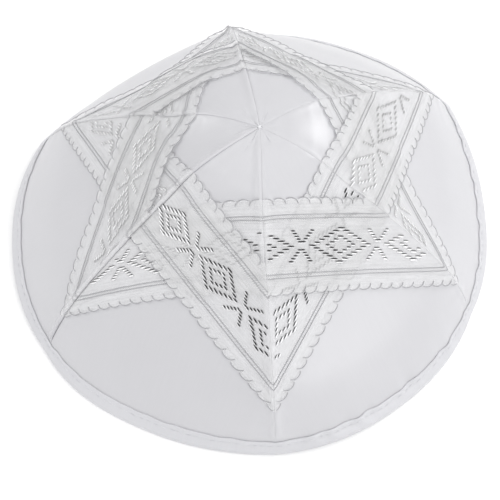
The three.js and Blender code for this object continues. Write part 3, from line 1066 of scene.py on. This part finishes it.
@dataclass
class Workshop:
    """What every piece is made with: the crown, its flat gore, the node trees and the dressed materials."""

    crown: Crown
    flat: FlatGore
    threads: bpy.types.NodeTree
    cords: bpy.types.NodeTree
    satin: bpy.types.Material
    binding: bpy.types.Material
    sheer: bpy.types.Material
    silver: bpy.types.Material
    edge_cord: bpy.types.Material
    sewing: bpy.types.Material

    @classmethod
    def open(cls) -> "Workshop":
        """Builds the trees and the materials."""
        crown = Crown()
        groups = Groups(weave_group(), handling_group())
        return cls(
            crown,
            FlatGore(crown),
            ThreadTree().build(),
            CordTree().build(),
            SATIN.material(groups),
            BINDING_SATIN.material(groups),
            SHEER.material(groups),
            SILVER.material(),
            EDGE_CORD.material(),
            SEWING.material(),
        )


# ---- the gores ----
@dataclass
class GoreCloth:
    """One gore of satin on its backing, with its seam allowances turned in."""

    shop: Workshop
    index: int
    wall: float = 0.6
    allowance: float = 6.0
    flap_wall: float = 0.35
    rows: int = 116
    middle_columns: int = 42
    near_seam: tuple[float, ...] = (0, 0.06, 0.14, 0.24, 0.36, 0.5, 0.7, 0.95, 1.3, 1.8, 2.6, 3.8, 5.4)

    @property
    def name(self) -> str:
        """The gore's name."""
        return GORES[self.index].name

    def columns(self, level: float) -> Numbers:
        """The places across the gore at a level, close together at its seams."""
        width = float(self.shop.crown.half_width(self.index, np.array(level)))
        scale = min(1.0, 0.5 * width / self.near_seam[-1])
        near = 1 - np.array(self.near_seam) * scale / width
        middle = near[-1] * np.linspace(-1, 1, self.middle_columns + 1)[1:-1]
        return np.concatenate([-near, middle, near[::-1]])

    def body(self) -> Patch:
        """The gore's cloth itself."""
        crown = self.shop.crown
        levels = np.linspace(0, 1, self.rows)
        across = np.stack([self.columns(level) for level in levels])
        level = np.broadcast_to(levels[:, None], across.shape)
        width = np.interp(level, self.shop.flat.level, self.shop.flat.half)
        down = np.interp(level, self.shop.flat.level, self.shop.flat.middle)
        outer = crown.over(self.index, level, across, 0.0)
        inner = crown.over(self.index, level, across, -self.wall)
        return slab(outer, inner, np.stack([across * width + GORE_SPACING * self.index, down], -1))

    def flap(self, side: int) -> Patch:
        """The seam allowance turned in at one seam, with an uneven raw edge."""
        crown = self.shop.crown
        levels = np.linspace(0.05, crown.bound_level + 0.01, 90)
        steps = np.array([0.02, 0.4, 1.0, 2.0, 3.2, 4.6, 1.0])
        reach = self.allowance * (1 + 0.08 * ripple(levels * GORE_LENGTH, 11.0, self.index + side))
        distance = np.broadcast_to(steps, (len(levels), len(steps))).copy()
        distance[:, -1] = reach
        width = crown.half_width(self.index, levels)[:, None]
        distance = np.minimum(distance, 0.9 * width * np.arange(1, len(steps) + 1) / len(steps))
        across = side * (1 - distance / width)
        if side > 0:
            across, distance = across[:, ::-1], distance[:, ::-1]
        level = np.broadcast_to(levels[:, None], across.shape)
        lift = 0.25 * smoothstep(distance, 1.0, self.allowance)
        down = level * GORE_LENGTH
        flat = np.stack([side * distance + GORE_SPACING * self.index, down], -1)
        top = -self.wall - 0.06 - lift * (0.6 + 0.4 * ripple(down, 9.0, self.index))
        return slab(
            crown.over(self.index, level, across, top),
            crown.over(self.index, level, across, top - self.flap_wall),
            flat,
        )

    def build(self) -> bpy.types.Object:
        patches = [self.body(), self.flap(-1), self.flap(1)]
        piece = make_piece(f"satin_gore_{self.name}", patches, self.shop.satin)
        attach(piece, BODY)
        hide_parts(f"gore_{self.name}")
        area = self.shop.flat.area(self.allowance) * MM * MM
        return piece


# ---- the ribbons ----
@dataclass
class Motif:
    """The ribbon's woven figure: nested lozenges in a chain, with a V and an inverted V between them."""

    period: float
    usual_period: float = 26.0
    usual_half_height: float = 5.7
    inner_share: float = 0.53
    rows: float = 6.6  # rows to half the lozenge's height
    float_length: float = 2.5
    inner_float: float = 1.9
    arm_rows: int = 5

    def __post_init__(self) -> None:
        """Works out the lozenge's half height and the pitch of its rows."""
        self.half_height = self.usual_half_height * (0.5 + 0.5 * self.period / self.usual_period)
        self.row = self.half_height / self.rows

    def lozenge(self) -> list[tuple[float, float, float]]:
        """The floats of one nested lozenge: place along and across from its middle, and length."""
        floats = []
        rings = (
            (0.41 * self.period, self.half_height, self.float_length),
            (0.2 * self.period, self.inner_share * self.half_height, self.inner_float),
        )
        for length, height, thread in rings:
            count = int(height / self.row)
            for number in range(-count, count + 1):
                across = number * self.row
                edge = length * (1 - abs(across) / (height + 0.3 * self.row))
                if edge > 0.6 * thread:
                    floats += [(side * (edge - thread / 2), across, thread) for side in (-1, 1)]
                else:
                    floats.append((0.0, across, thread))
        return floats

    def arms(self) -> list[tuple[float, float, float]]:
        """The floats of the V and the inverted V, from the middle between two lozenges."""
        return [
            (side * (0.55 + 0.72 * number), half * (1.3 + self.row * number), 1.7)
            for side in (-1, 1)
            for half in (-1, 1)
            for number in range(self.arm_rows)
        ]


@dataclass
class Ribbon:
    """One length of sheer jacquard ribbon: its cloth, its edge cords and lines, and its silver figure."""

    shop: Workshop
    length: RibbonLength
    wall: float = 0.18
    lay: float = 0.12  # clearance over what it lies on
    crossing: float = 0.62  # how far the upper ribbon rises over the lower one
    scallop: float = 4.1
    scallop_rise: float = 0.36  # the share of a scallop's length that rises
    scallop_depth: float = 1.0
    hook_depth: float = 2.0  # how deep the cord's hook at a scallop's end reaches
    lines: tuple[float, float] = (10.0, 8.8)  # the double line, from the ribbon's middle
    rows: int = 30
    columns: int = 190

    def __post_init__(self) -> None:
        """Works out the ribbon's side and its name."""
        self.side = -1 if self.length.lies is Lies.OVER else 1
        self.name = f"{self.length.lies.value}_{GORES[self.length.gore].name}"
        self.middle = (STAR_INNER + STAR_OUTER) / 2
        self.half = (STAR_OUTER - STAR_INNER) / 2
        self.random = np.random.RandomState(100 + 2 * self.length.gore + (self.side > 0))

    def locate(self, from_tip: Numbers, along: Numbers) -> tuple[Numbers, Numbers]:
        """The level and the place across the gore of a point of the ribbon."""
        turn = math.radians(STAR_ANGLE)
        down = from_tip * math.cos(turn) + along * math.sin(turn)
        sideways = from_tip * math.sin(turn) - along * math.cos(turn)
        return self.shop.flat.place(down, self.side * sideways)

    def raised(self, from_tip: Numbers, along: Numbers) -> Numbers:
        """How far the upper ribbon is raised to pass over the lower one."""
        if self.length.lies is Lies.UNDER:
            return np.zeros(np.broadcast(from_tip, along).shape)
        turn = math.radians(2 * STAR_ANGLE)
        on_lower = from_tip * math.cos(turn) + along * math.sin(turn)
        outside = np.maximum(STAR_INNER - on_lower, on_lower - STAR_OUTER)
        return self.crossing * (1 - smoothstep(outside, 0.4, 3.4))

    def flutter(self, from_tip: Numbers, along: Numbers) -> Numbers:
        """The free edges' slight lift off the cloth."""
        edge = smoothstep(np.abs(from_tip - self.middle), self.half - 4, self.half)
        free = 0.12 * edge * (1 + ripple(along, 13.0, self.length.gore + 3 * self.side))
        bent = from_tip + 0.9 * ripple(along, 21.0, self.length.gore)
        fold = 1 + ripple(bent, 5.2, self.length.gore + self.side)
        return free + 0.5 * GORES[self.length.gore].ribbon_pucker * fold

    def point(self, from_tip: Numbers, along: Numbers, height: Numbers) -> Grid:
        """Points of the ribbon at a height over its lower face."""
        level, across = self.locate(from_tip, along)
        lift = self.lay + height + self.raised(from_tip, along) + self.flutter(from_tip, along)
        return self.shop.crown.over(self.length.gore, level, np.clip(across, -1, 1), lift)

    def edge_in(self, along: Numbers) -> Numbers:
        """How far the scalloped edge stands in: nothing at a scallop's round top, most in the notch."""
        turn = (along / self.scallop) % 1.0
        rise, fall = 1 - turn / self.scallop_rise, (turn - self.scallop_rise) / (1 - self.scallop_rise)
        edge = 0.45 * np.maximum(rise, 0) ** 2 + 1 - np.sqrt(1 - np.clip(fall, 0, 0.995) ** 2)
        return self.scallop_depth * np.minimum(edge, 0.75)

    def scalloped(self, share: Numbers, along: Numbers) -> Numbers:
        """The distance from the tip of a line of the ribbon: share runs from -1 to 1 across it."""
        weight = smoothstep(np.abs(share), 0.72, 1.0)
        inward = np.sign(share) * weight * self.edge_in(along)
        return self.middle + self.half * share - inward

    def ends(self, share: Numbers) -> tuple[Numbers, Numbers]:
        """Where lines of the ribbon meet its own seam and the far one.

        Args:
            share: the lines, from -1 to 1 across the ribbon.

        Returns:
            The place along the ribbon of both ends of each line.
        """
        found = []
        for target in (1.0, -1.0):
            low, high = np.full(share.shape, -8.0), np.full(share.shape, 112.0)
            for _ in range(24):
                middle = (low + high) / 2
                across = self.locate(self.scalloped(share, middle), middle)[1] * self.side
                past = across < target
                low, high = np.where(past, low, middle), np.where(past, middle, high)
            found.append((low + high) / 2)
        return found[0], found[1]

    def line(self, share: float, height: float, inset: float = 0.0, count: int = 190) -> Grid:
        """A line along the ribbon, from seam to seam, at a height over its lower face."""
        own, far = (float(end[0]) for end in self.ends(np.array([share])))
        along = np.linspace(own + inset, far - inset, count)
        return self.point(self.scalloped(np.full(count, share), along), along, height)

    def cloth(self) -> bpy.types.Object:
        """The ribbon's sheer cloth, with its scalloped edges."""
        tight = np.array([0.0, 0.03, 0.07, 0.12, 0.18, 0.25])
        plain = np.linspace(-0.68, 0.68, self.rows - 2 * len(tight))
        share = np.concatenate([-1 + tight, plain, (1 - tight)[::-1]])
        own, far = self.ends(share)
        near = np.array([0, 0.06, 0.14, 0.24, 0.36, 0.5, 0.7, 0.95, 1.3, 1.8])
        between = np.linspace(0, 1, self.columns - 2 * len(near) + 2)[1:-1]
        start, stop = near[-1], near[-1] * 2.2
        along = np.concatenate(
            [
                own[:, None] + near,
                own[:, None] + start + (far - own - start - stop)[:, None] * between,
                (far[:, None] - near * 2.2)[:, ::-1],
            ],
            axis=1,
        )
        from_tip = self.scalloped(share[:, None], along)
        outer, inner = self.point(from_tip, along, self.wall), self.point(from_tip, along, 0.0)
        flat = np.stack([from_tip, along], -1)
        if self.side > 0:
            outer, inner, flat = outer[:, ::-1], inner[:, ::-1], flat[:, ::-1]
        piece = make_piece(f"sheer_ribbon_{self.name}", [slab(outer, inner, flat)], self.shop.sheer)
        self.spans = (float(own.min()), float(far.max()))
        trapezium = (far[0] - own[0] + far[-1] - own[-1]) / 2 * 2 * self.half
        self.flat_size = (2 * self.half * MM, float(far[-1] - own[-1]) * MM)
        self.flat_area = float(trapezium) * MM * MM
        return piece

    def hooks(self, side: int, height: float, count: int = 12) -> list[Grid]:
        """The cords that outline the scallops of one edge, each ending in a hook.

        Args:
            side: -1 for the edge nearer the tip of the crown, 1 for the farther one.
            height: their height over the ribbon's lower face.
            count: points to a cord.

        Returns:
            One route for each whole scallop.
        """
        own, far = (float(end[0]) for end in self.ends(np.array([float(side)])))
        turn = np.linspace(0.02, 1.0, count)
        rise, fall = 1 - turn / self.scallop_rise, (turn - self.scallop_rise) / (1 - self.scallop_rise)
        edge = 0.22 * np.maximum(rise, 0) ** 2 + 1 - np.sqrt(1 - np.clip(fall, 0, 1) ** 2)
        from_tip = self.middle + side * (self.half - 0.02 - self.hook_depth * edge)
        routes = []
        for number in range(math.floor(own / self.scallop), math.ceil(far / self.scallop)):
            along = (number + turn) * self.scallop
            whole = (along > own + 0.6) & (along < far - 0.6)
            if whole.sum() > 2:
                routes.append(self.point(from_tip[whole], along[whole], height))
        return routes

    def edge_cords(self) -> bpy.types.Object:
        """The cords round the scallops and the two fine double lines."""
        top = self.wall + 0.05
        routes = [*self.hooks(-1, top), *self.hooks(1, top)]
        routes += [self.line(sign * line / self.half, top - 0.04) for sign in (-1, 1) for line in self.lines]
        return cords(f"ribbon_cords_{self.name}", routes, self.shop.cords, 0.12, self.shop.edge_cord)

    def lay_threads(self, threads: Threads, from_tip: Numbers, along: Numbers, reach: Numbers) -> None:
        """Lays pairs of threads on the ribbon, one painted bright as a glint and one painted dark as a dark
        reflection, within its two ends.

        Args:
            threads: the collection they go in.
            from_tip: the places across the ribbon.
            along: the places along it.
            reach: their lengths.
        """
        level, across = self.locate(from_tip, along)
        width = self.shop.crown.half_width(self.length.gore, level)
        inside = ((1 - np.abs(across)) * width > 0.9) & (np.abs(across) < 1)
        from_tip, along, reach = from_tip[inside], along[inside], reach[inside]
        if not len(along):
            return
        height, step = self.wall + 0.04, 0.3
        # where along the ribbon the painted glint outweighs the painted dark reflection
        bright = 0.5 + 0.5 * self.length.turn * np.tanh((along - self.length.pivot) / 7)
        bright = np.clip(bright + self.random.uniform(-0.25, 0.25, len(along)), 0, 1)
        # each pair: a thread painted dark (tone 0) and beside it one painted bright (tone 1); the one on the
        # winning side grows thicker
        for shift, tone, girth in ((0.0, 0.0, 1.4 - 0.7 * bright), (0.46, 1.0, 0.45 + 0.95 * bright)):
            place = from_tip + shift
            here = self.point(place, along, height)
            forward = unit(self.point(place, along + step, height) - self.point(place, along - step, height))
            outward = unit(self.point(place + step, along, height) - self.point(place - step, along, height))
            up = np.cross(outward, forward) * -self.side
            even = self.random.uniform(0.55, 0.9, len(along))
            # with a low reflection contrast the painted reflection gives way to an even random grey
            tones = tone * self.length.contrast + even * (1 - self.length.contrast)
            slant = forward + self.random.uniform(0.02, 0.14, len(along))[:, None] * outward
            threads.add(here, slant, up, reach * self.random.uniform(0.85, 1.1, len(along)), tones, girth)

    def figure(self) -> bpy.types.Object:
        """The silver figure of nested lozenges and arms."""
        motif, threads = Motif(self.length.period), Threads()
        lozenge, arms = np.array(motif.lozenge()), np.array(motif.arms())
        for number in range(-1, 5):
            centre = self.length.phase + motif.period * number
            for marks, middle in ((lozenge, centre), (arms, centre + motif.period / 2)):
                self.lay_threads(threads, self.middle + marks[:, 1], middle + marks[:, 0], marks[:, 2])
        return threads.piece(f"silver_figure_{self.name}", self.shop.threads, (0.4, 0.2), self.shop.silver)

    def build(self) -> list[bpy.types.Object]:
        """Makes the ribbon's three pieces."""
        cloth = self.cloth()
        trims = [self.edge_cords(), self.figure()]
        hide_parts(f"ribbon_{self.name}")
        for piece in (cloth, *trims):
            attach(piece, BODY)
        rests = [f"satin_gore_{GORES[self.length.gore].name}"]
        return [cloth, *trims]


# ---- the binding ----
@dataclass
class Binding:
    """The strip of satin folded round the edge, puckered along its stitching."""

    shop: Workshop
    stations: int = 96  # sections to a gore
    thickness: float = 0.45
    clear: float = 0.12
    cut_width: float = 15.5  # of the flat strip, with what is turned under at the stitches
    stitch_down: float = 1.35  # the stitch line, below the upper edge
    stitch_pitch: float = 2.9
    stitch_length: float = 2.0
    foot_inset: float = 0.5
    # the outer face, as distance down from the upper edge and height over the gore
    face: tuple[tuple[float, float], ...] = (
        (0.0, 0.2), (0.08, 0.38), (0.3, 0.5), (0.65, 0.52), (1.0, 0.48), (1.35, 0.44), (1.75, 0.52),
        (2.3, 0.7), (3.0, 0.86), (3.8, 0.98), (4.6, 1.05),
    )
    # the fold's rounded underside, as inset from the foot of a face and height
    underside: tuple[tuple[float, float], ...] = ((0.03, 0.55), (0.25, 0.12), (0.6, 0.0))

    def ring(self, level: float) -> Grid:
        """The smooth outline of the crown at a level, once round."""
        across = np.linspace(-1, 1, self.stations + 1)[:-1]
        levels = np.full(len(across), level)
        gores = range(len(GORES))
        return np.concatenate([self.shop.crown.point(index, levels, across) for index in gores])

    def prepare(self) -> None:
        """Works out the outline's directions and the length round it."""
        crown = self.shop.crown
        low, high = self.ring(crown.bound_level), self.ring(1.0)
        for _ in range(2):
            low = (np.roll(low, 1, 0) + 2 * low + np.roll(low, -1, 0)) / 4
        self.down = unit(high - low)
        along = unit(np.roll(high, -1, 0) - np.roll(high, 1, 0))
        for _ in range(6):
            along = unit(np.roll(along, 1, 0) + along + np.roll(along, -1, 0))
        self.along = along
        self.normal = unit(np.cross(self.down, along))
        steps = np.linalg.norm(np.roll(high, -1, 0) - high, axis=-1)
        self.round = np.concatenate([[0], np.cumsum(steps)[:-1]])
        self.length = float(steps.sum())
        self.stitches = round(self.length / self.stitch_pitch)
        pucker = np.repeat([gore.edge_pucker for gore in GORES], self.stations)
        for _ in range(40):
            pucker = (np.roll(pucker, 1) + pucker + np.roll(pucker, -1)) / 3
        self.pucker = pucker

    def section(self, depth: float, height: float, inside: bool = False) -> Grid:
        """A line round the binding, at a distance down from its upper edge and a height over the gore.

        Args:
            depth: distance below the upper edge.
            height: height over the gore's face, on whichever side.
            inside: whether the line is on the binding's inner side.

        Returns:
            One point for each station.
        """
        crown = self.shop.crown
        reach = BOUND - FOLD_HEIGHT
        level = crown.bound_level + (1 - crown.bound_level) * min(depth / reach, 1.0)
        wave = ripple(self.round * 2 * math.pi / self.length * 70, 8.5, 5 if inside else 1)
        free = max(1 - depth / 3.2, 0)
        wavy = 0.55 * self.pucker * wave * free
        turn = 2 * math.pi * self.round / self.length * self.stitches
        dimple = 0.05 * np.cos(turn) * math.exp(-(((depth - self.stitch_down) / 0.7) ** 2))
        puff = 0.2 * self.pucker * ripple(self.round, 6.0, 2) * float(smoothstep(depth, 1.4, 2.6))
        fade = 1 - float(smoothstep(depth, 4.0, 4.6))
        across = np.linspace(-1, 1, self.stations + 1)[:-1]
        level = np.full(len(across), level)
        base = np.concatenate([crown.point(index, level, across) for index in range(len(GORES))])
        relief = np.concatenate([crown.relief(index, level, across) for index in range(len(GORES))])
        body = 0.6 + 2 * self.clear if inside else 0.0
        sign = -1 if inside else 1
        out = sign * (body + self.clear + height + dimple + puff * fade) + relief
        return base + self.normal * out[:, None] + self.down * wavy[:, None]

    def cloth(self) -> bpy.types.Object:
        """The folded strip."""
        outer = [self.section(depth, height) for depth, height in self.face]
        inner = [self.section(depth, height, True) for depth, height in reversed(self.face)]
        foot_out, foot_in = outer[-1].copy(), inner[0].copy()
        inward = unit((foot_in - foot_out) * [1, 1, 0])
        wall = self.thickness

        def sole(start: Grid, inset: float, height: float) -> Grid:
            """A line of the fold's underside, at an inset from a foot line and a height."""
            line = start + inward * inset
            line[:, 2] = height
            return line

        soles = [sole(foot_out, inset, height) for inset, height in self.underside]
        soles.append(sole((foot_out + foot_in) / 2, 0.0, 0.0))
        soles += [sole(foot_in, -inset, height) for inset, height in reversed(self.underside)]
        channel_in = [self.section(depth, max(height - wall, 0.0), True) for depth, height in self.face[::3]]
        floor_in, floor_out = foot_in - inward * (wall + 0.1), foot_out + inward * (wall + 0.1)
        floor_in[:, 2], floor_out[:, 2] = wall, wall
        lines = self.face[::3]
        channel_out = [self.section(depth, max(height - wall, 0.0)) for depth, height in reversed(lines)]
        loop = [*outer, *soles, *inner, *channel_in, floor_in, floor_out, *channel_out]
        sections = np.stack(loop, 1) + self.shop.crown.shift
        girth = np.concatenate([[0], np.cumsum(np.linalg.norm(np.diff(sections[0], axis=0), axis=-1))])
        flat = np.stack(np.broadcast_arrays(self.round[:, None], girth[None, :]), -1)
        LOG.info("binding: %d stations, strip of %d lines", len(sections), len(loop))
        return make_piece("folded_binding", [hoop(sections, flat)], self.shop.binding)

    def topstitch(self) -> bpy.types.Object:
        """The running stitches near the upper edge, on both sides."""
        threads = Threads()
        random = np.random.RandomState(7)
        for inside in (False, True):
            line = self.section(self.stitch_down, 0.5, inside) + self.shop.crown.shift
            places = (np.arange(self.stitches) + 0.5) / self.stitches * self.length
            closed = np.append(self.round, self.length)

            def along_ring(values: Grid) -> Grid:
                """Values of the ring's stations at the stitches."""
                rows = np.concatenate([values, values[:1]])
                return np.stack([np.interp(places, closed, rows[:, k]) for k in range(3)], -1)

            sign = -1 if inside else 1
            tone = random.uniform(0.2, 0.6, len(places))
            up = sign * along_ring(self.normal)
            threads.add(along_ring(line), along_ring(self.along), up, self.stitch_length, tone)
        return threads.piece("binding_stitches", self.shop.threads, (0.3, 0.24), self.shop.sewing)

    def build(self) -> list[bpy.types.Object]:
        """Makes the binding and its stitches."""
        self.prepare()
        cloth, stitches = self.cloth(), self.topstitch()
        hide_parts("edge_binding")
        for piece in (cloth, stitches):
            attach(piece, BODY)
        gores = [f"satin_gore_{gore.name}" for gore in GORES]
        return [cloth, stitches]


@dataclass
class TipStitches:
    """The few stitches that draw the six points together at the tip."""

    shop: Workshop
    count: int = 9
    reach: float = 2.6

    def build(self) -> bpy.types.Object:
        """Makes them as threads that cross at the tip."""
        crown = self.shop.crown
        centre = crown.over(0, np.array([0.0]), np.array([0.0]), 0.0)[0]
        centre[:2] = (TIP_SHIFT + crown.shift[0], crown.shift[1])
        threads = Threads()
        random = np.random.RandomState(3)
        angles = np.linspace(0, math.pi, self.count, endpoint=False) + random.uniform(-0.12, 0.12, self.count)
        lay = np.stack([np.cos(angles), np.sin(angles), random.uniform(-0.1, 0.1, self.count)], -1)
        up = np.tile([0.0, 0.0, 1.0], (self.count, 1))
        aside, ahead = random.uniform(-0.2, 0.2, self.count), random.uniform(-0.2, 0.2, self.count)
        layers = np.linspace(-0.15, 0.25, self.count)
        place = np.tile(centre, (self.count, 1)) + np.stack([aside, ahead, layers], -1)
        threads.add(place, lay, up, random.uniform(0.7, 1.0, self.count) * self.reach, 0.75)
        piece = threads.piece("tip_stitches", self.shop.threads, (0.42, 0.32), self.shop.sewing)
        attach(piece, BODY)
        return piece


# ---- the stage ----
@dataclass
class Studio:
    """The camera, the pale floor and the soft light."""

    elevation: float = 61.5
    azimuth: float = -6.1
    roll: float = 1.04
    distance: float = 0.546
    focal_length: float = 107.04
    aim_right: float = 0.84 * MM  # how far the view's middle lies from the rim's middle
    aim_down: float = 8.45 * MM

    def camera(self, rim_middle: Vector) -> None:
        """Sets the camera, at a distance from the middle of the cap's rim."""
        a, e = math.radians(self.azimuth), math.radians(self.elevation)
        back = Vector((math.sin(a) * math.cos(e), -math.cos(a) * math.cos(e), math.sin(e)))
        level = (-back).to_track_quat("-Z", "Y").to_matrix()
        right, up = level.col[0], level.col[1]
        place = rim_middle + back * self.distance
        target = rim_middle - right * self.aim_right - up * self.aim_down
        turn = (target - place).to_track_quat("-Z", "Y").to_matrix()
        data = bpy.data.cameras.new("camera")
        data.lens, data.sensor_width = self.focal_length, 36.0
        data.clip_start, data.clip_end = 0.01, 20.0
        camera = bpy.data.objects.new("camera", data)
        rolled = turn @ Matrix.Rotation(math.radians(self.roll), 3, "Z")
        camera.matrix_world = Matrix.Translation(place) @ rolled.to_4x4()
        bpy.context.scene.collection.objects.link(camera)
        bpy.context.scene.camera = camera

    def floor(self) -> None:
        """A wide pale floor under the cap."""
        mesh = bpy.data.meshes.new("floor")
        side = 3.0
        square = [(-side, -side, 0), (side, -side, 0), (side, side, 0), (-side, side, 0)]
        mesh.from_pydata(square, [], [(0, 1, 2, 3)])
        material = bpy.data.materials.new("pale_floor")
        material.use_nodes = True
        tree = material.node_tree
        tree.nodes.clear()
        nodes = NodeTree(tree)
        place = nodes.add("ShaderNodeTexCoord").outputs["Object"]
        speck = nodes.add("ShaderNodeTexNoise", {"Vector": place, "Scale": 30.0}).outputs["Fac"]
        rough = nodes.math("MULTIPLY_ADD", speck, 0.1, 0.85)
        shader = nodes.add(
            "ShaderNodeBsdfPrincipled",
            {"Base Color": (0.98, 0.98, 0.98, 1), "Roughness": rough, "Specular IOR Level": 0.0},
        )
        nodes.add("ShaderNodeOutputMaterial", {"Surface": shader.outputs[0]})
        mesh.materials.append(material)
        floor = bpy.data.objects.new("floor", mesh)
        bpy.context.scene.collection.objects.link(floor)
        floor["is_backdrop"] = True

    def lamp(self, name: str, place: tuple[float, float, float], size: float, power: float) -> None:
        """A square soft lamp that faces the cap."""
        data = bpy.data.lights.new(name, "AREA")
        data.shape, data.size, data.energy = "SQUARE", size, power
        lamp = bpy.data.objects.new(name, data)
        lamp.location = place
        lamp.rotation_mode = "QUATERNION"
        lamp.rotation_quaternion = (Vector((0, 0, 0.03)) - Vector(place)).to_track_quat("-Z", "Y")
        bpy.context.scene.collection.objects.link(lamp)

    def light(self) -> None:
        """The world's even light and three soft lamps."""
        world = bpy.data.worlds.new("studio")
        bpy.context.scene.world = world
        world.use_nodes = True
        background = world.node_tree.nodes["Background"]
        background.inputs["Color"].default_value = (1.0, 1.0, 1.0, 1)
        background.inputs["Strength"].default_value = 0.7
        self.lamp("key_right_back", (1.68, 1.14, 1.26), 0.62, 15.0)
        self.lamp("soft_front_right", (1.7, -2.1, 1.9), 2.0, 36.0)
        self.lamp("fill_left", (-1.9, 0.4, 1.25), 0.9, 12.5)
        self.lamp("top", (0.1, 0.1, 2.6), 2.0, 11.0)
        bpy.context.scene.view_settings.view_transform = "Standard"
        bpy.context.scene.view_settings.look = "None"


def main() -> None:
    """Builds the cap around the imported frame, then the stage."""
    logging.basicConfig(level=logging.INFO, format="%(name)s: %(message)s")
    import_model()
    shop = Workshop.open()
    studio = Studio()
    studio.camera(Vector(shop.crown.shift) * MM)
    for index in range(len(GORES)):
        LOG.info("made %s", GoreCloth(shop, index).build().name)
    for length in RIBBONS:
        for piece in Ribbon(shop, length).build():
            LOG.info("made %s", piece.name)
    for piece in (*Binding(shop).build(), TipStitches(shop).build()):
        LOG.info("made %s", piece.name)
    studio.floor()
    studio.light()
    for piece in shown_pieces():
        LOG.info("%s: %d faces", piece.name, len(piece.data.polygons))


if __name__ == "__main__":
    main()
